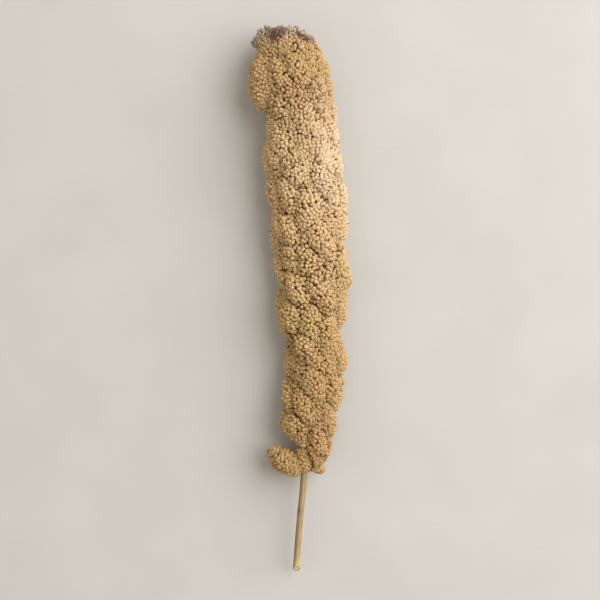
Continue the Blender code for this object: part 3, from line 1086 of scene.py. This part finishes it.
def share_of_box(tree, axis):
    """0 at the low side of the part's box and 1 at its high side. Axis 0 is X and 1 is Y."""
    low, high = CAD_BOX
    place = component(tree, object_place(tree), axis)
    inputs = {"Value": place, "From Min": low[axis], "From Max": high[axis]}
    return add_node(tree, "MapRange", inputs).outputs["Result"]


def along_head(tree):
    """0 at the cut end of the stem and 1 at the tip of the head."""
    return share_of_box(tree, 1)


def husk_marks(tree, shade):
    """(how far a point is from the seam of its grain's husk, fine ribs that run along the grain)."""
    place = add_node(tree, "Attribute", attribute_name="grain_place").outputs["Vector"]
    seam = computed(tree, "ABSOLUTE", computed(tree, "SUBTRACT", component(tree, place, 0), TEMPLATE_MIDDLE))
    ribbing, own = stretched(tree, place, (1.0, 1.0, 0.2)), computed(tree, "MULTIPLY", shade, RIB_VARIETY)
    inputs = {"Vector": ribbing, "W": own, "Scale": 9.0, "Detail": 2.0}
    return seam, add_node(tree, "TexNoise", inputs, noise_dimensions="4D").outputs["Fac"]


def sound_husk(tree, shade, along):
    """A fresh husk's colour: its own shade, warm or olive in patches, and ochre towards its foot."""
    patches = noise(tree, scale=48, detail=3.0)
    layers = (
        ((220, 168, 110), patches, ((0.48, 0.0), (0.68, 0.4))),
        ((192, 172, 92), patches, ((0.36, 0.6), (0.54, 0.0))),
        ((210, 152, 72), along, ((0.15, 0.95), (0.68, 0.0))),
    )
    return layered(tree, ramp(tree, shade, HUSK_COLOURS), layers)


def glare_and_ends(tree, base):
    """The base with painted glare on the lit upper right side, darker and yellower towards both ends and
    withered at the tip.
    """
    place = along_head(tree)
    # Painted glare: a pale pinkish wash where the window's light falls on the right side of the upper head.
    lit_side_share = ramp(tree, share_of_box(tree, 0), GLARE_ACROSS)
    glare_share = mixed(tree, 1.0, ramp(tree, place, GLARE_ALONG), lit_side_share, "MULTIPLY")
    with_glare = mixed(tree, glare_share, base, (238, 215, 187))
    # Darker and yellower towards both ends of the head.
    layers = (((168, 135, 84), place, ENDS_DARKER_ALONG), ((170, 147, 130), place, WITHERED_ALONG))
    return layered(tree, with_glare, layers)


def grain_material():
    """A husked grain with its beak, the seam of its husk, its ribs and painted shade in the creases."""
    material, tree, shader = new_material("husked_grain")
    shade, along, dark_and_shade = painted(tree, "grain_tint")
    seam, ribs = husk_marks(tree, shade)
    layers = (
        ((178, 140, 94), along, ((0.88, 0.0), (1.0, 0.3))),
        ((166, 120, 66), seam, ((0.0, 0.35), (0.07, 0.0))),
        ((190, 158, 114), ribs, ((0.35, 0.3), (0.6, 0.0))),
    )
    marked = layered(tree, glare_and_ends(tree, sound_husk(tree, shade, along)), layers)
    # Painted shade: grains deep in the creases, and those near the withered lumps, are blended towards dark
    # brown.
    colour = mixed(tree, dark_and_shade, marked, (120, 82, 46))
    roughness = ramp(tree, ribs, ((0.3, 0.72), (0.7, 0.55)))
    finish_surface(shader, colour, roughness, ribs, strength=0.5, distance=0.00008)
    feed(shader, {"Subsurface Weight": 0.6, "Subsurface Radius": (1.0, 0.6, 0.3), "Subsurface Scale": 0.0011})
    return material


def darkened(tree, colours, darkest):
    """The colour for each copy's own shade, blended towards the darkest by its darkness, which holds any
    painted shade.
    """
    shade, _, dark_and_shade = painted(tree, "grain_tint")
    return mixed(tree, dark_and_shade, ramp(tree, shade, colours), darkest)


def husk_material():
    material, tree, shader = new_material("papery_husk")
    # The scales take their grains' darkness, painted shade in the creases included.
    paper = darkened(tree, PAPER_COLOURS, (88, 62, 52))
    veins = noise(tree, scale=3200)
    roughness = ramp(tree, veins, ((0.3, 0.6), (0.7, 0.8)))
    finish_surface(shader, paper, roughness, veins, strength=0.4, distance=0.00006)
    return material


def withered_material():
    material, tree, shader = new_material("withered_tip")
    streaks = noise(tree, scale=2400, detail=3.0, roughness=0.6)
    layers = [((84, 60, 52), streaks, ((0.45, 0.0), (0.7, 0.4)))]
    mottled = layered(tree, darkened(tree, WITHERED_COLOURS, (104, 74, 66)), layers)
    finish_surface(shader, mottled, 0.75, streaks, strength=0.5, distance=0.0001)
    return material


def core_material():
    """The bed of chaff and small stalks that the grains sit in, its chaff colour darkened as painted shade
    deep between the grains.
    """
    material, tree, shader = new_material("chaff_and_shade_between_grains")
    chaff = ramp(tree, noise(tree, scale=1200, detail=4.0, roughness=0.7), CHAFF_COLOURS)
    inputs = {"Vector": object_place(tree), "Scale": 760}
    cells = add_node(tree, "TexVoronoi", inputs, feature="SMOOTH_F1")
    from_middle = cells.outputs["Distance"]
    layers = (
        # Painted shade on the borders of the cells, like the dark gaps between small grains.
        ((92, 60, 28), from_middle, ((0.3, 0.0), (0.6, 0.85))),
        ((96, 76, 62), along_head(tree), ((0.955, 0.0), (0.975, 0.8))),
    )
    bed = ramp(tree, from_middle, ((0.1, 1.0), (0.7, 0.0)))
    finish_surface(shader, layered(tree, chaff, layers), 0.9, bed, strength=1.0, distance=0.0008)
    return material


def stem_material():
    """Straw with streaks, dark and pale fibres, blotches, its left side browned as painted shade, a stain and
    its pith.
    """
    material, tree, shader = new_material("straw_stem")
    pith, left, stain = painted(tree, "stem_tint")
    streaks = noise(tree, scale=900, detail=3.0, roughness=0.6, stretch=(1.0, 0.06, 1.0))
    fibres = noise(tree, scale=3600, detail=2.0, roughness=0.6, stretch=(1.0, 0.02, 1.0))
    blotches = noise(tree, scale=160, detail=3.0)
    layers = (
        ((146, 112, 66), streaks, ((0.35, 0.5), (0.55, 0.0))),
        ((150, 120, 74), fibres, ((0.4, 0.55), (0.52, 0.0))),
        ((214, 194, 142), fibres, ((0.56, 0.0), (0.7, 0.4))),
        ((140, 104, 64), blotches, ((0.56, 0.0), (0.75, 0.5))),
        # Painted shade: the left side, away from the window, is browned.
        ((134, 104, 62), left, ((0.5, 0.0), (0.95, 0.7))),
        ((92, 66, 40), stain, ((0.05, 0.0), (0.8, 0.8))),
    )
    straw = layered(tree, ramp(tree, along_head(tree), STEM_COLOURS), layers)
    cut = mixed(tree, pith, straw, (232, 218, 184))
    roughness = ramp(tree, streaks, ((0.3, 0.62), (0.7, 0.42)))
    finish_surface(shader, cut, roughness, fibres, strength=0.6, distance=0.00012)
    return material


def floor_material():
    material, tree, shader = new_material("pale_floor")
    feed(shader, {"Base Color": ramp(tree, noise(tree, scale=30), FLOOR_COLOURS), "Roughness": 0.7})
    return material


def make_floor():
    corners = np.array([(-1, -1, 0), (1, -1, 0), (1, 1, 0), (-1, 1, 0)]) * FLOOR_HALF_WIDTH / METRES_PER_MM
    floor = mesh_object("floor", corners, np.array([[0, 1, 2, 3]]), floor_material(), 0.0, smooth=False)


def add_light(name, place, aim, size, energy, colour):
    data = bpy.data.lights.new(name, "AREA")
    data.shape = "DISK"
    data.size = size
    data.energy = energy
    data.color = colour
    light = new_object(name, data)
    light.location = place
    light.rotation_euler = Vector(np.subtract(aim, place)).to_track_quat("-Z", "Y").to_euler()


def make_light():
    """A broad window at the upper right, a weak fill at the left and a dim warm room."""
    window_place, window_aim = (0.72, 0.35, 0.75), (0, 0.03, 0.01)
    add_light("window", window_place, window_aim, size=1.35, energy=17.6, colour=(0.97, 0.98, 0.98))
    fill_place, fill_aim = (-0.5, -0.2, 0.7), (0, 0, 0.01)
    add_light("fill", fill_place, fill_aim, size=0.8, energy=0.75, colour=(1.0, 0.96, 0.9))
    world = bpy.data.worlds.new("room")
    bpy.context.scene.world = world
    world.use_nodes = True
    background = world.node_tree.nodes["Background"]
    background.inputs["Color"].default_value = (0.98, 0.9, 0.79, 1.0)
    background.inputs["Strength"].default_value = 0.52


def make_camera():
    """A camera straight above, so far off that the part fills the height of the view."""
    data = bpy.data.cameras.new("camera")
    data.lens = LENS
    data.sensor_width = SENSOR_WIDTH
    low, high = CAD_BOX
    view_height = (high[1] - low[1]) * VIEW_MARGIN
    camera = new_object("camera", data)
    camera.location = (0, 0, high[2] / 2 + view_height / (SENSOR_WIDTH / LENS))
    bpy.context.scene.camera = camera


def attach(piece, node):
    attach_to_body(piece, "root")
    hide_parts(node)


def make_head(shift):
    """All the pieces that stand for the grain head."""
    rng = np.random.default_rng(LOOK_SEED)
    rings = column_rings()
    domes = column_domes(rings)
    centres = lump_centres(rings)
    grain_look, husk_look, withered_look = grain_material(), husk_material(), withered_material()
    tips, places, tint, dried = outer_layer(rings, domes, centres, rng)
    directions = places[1]
    return [
        *make_grains(tips, places, tint, dried, grain_look, shift),
        make_husk_scales(places, tint, rng, husk_look, shift),
        make_inner_grains(rings, domes, rng, grain_look, shift),
        make_bristles(tips, directions, rng, husk_look, shift),
        make_withered_grains(centres, tips[dried], directions[dried], rng, withered_look, shift),
        make_bracts(centres, rng, withered_look, shift),
        *make_cores(rings, domes, core_material(), shift),
    ]


def main():
    shift = frame_shift()
    for piece in make_head(shift):
        attach(piece, "grain_head")
    attach(make_stem(stem_material(), shift), "stem")
    make_floor()
    make_light()
    make_camera()
    bpy.context.scene.view_settings.view_transform = "Standard"


main()
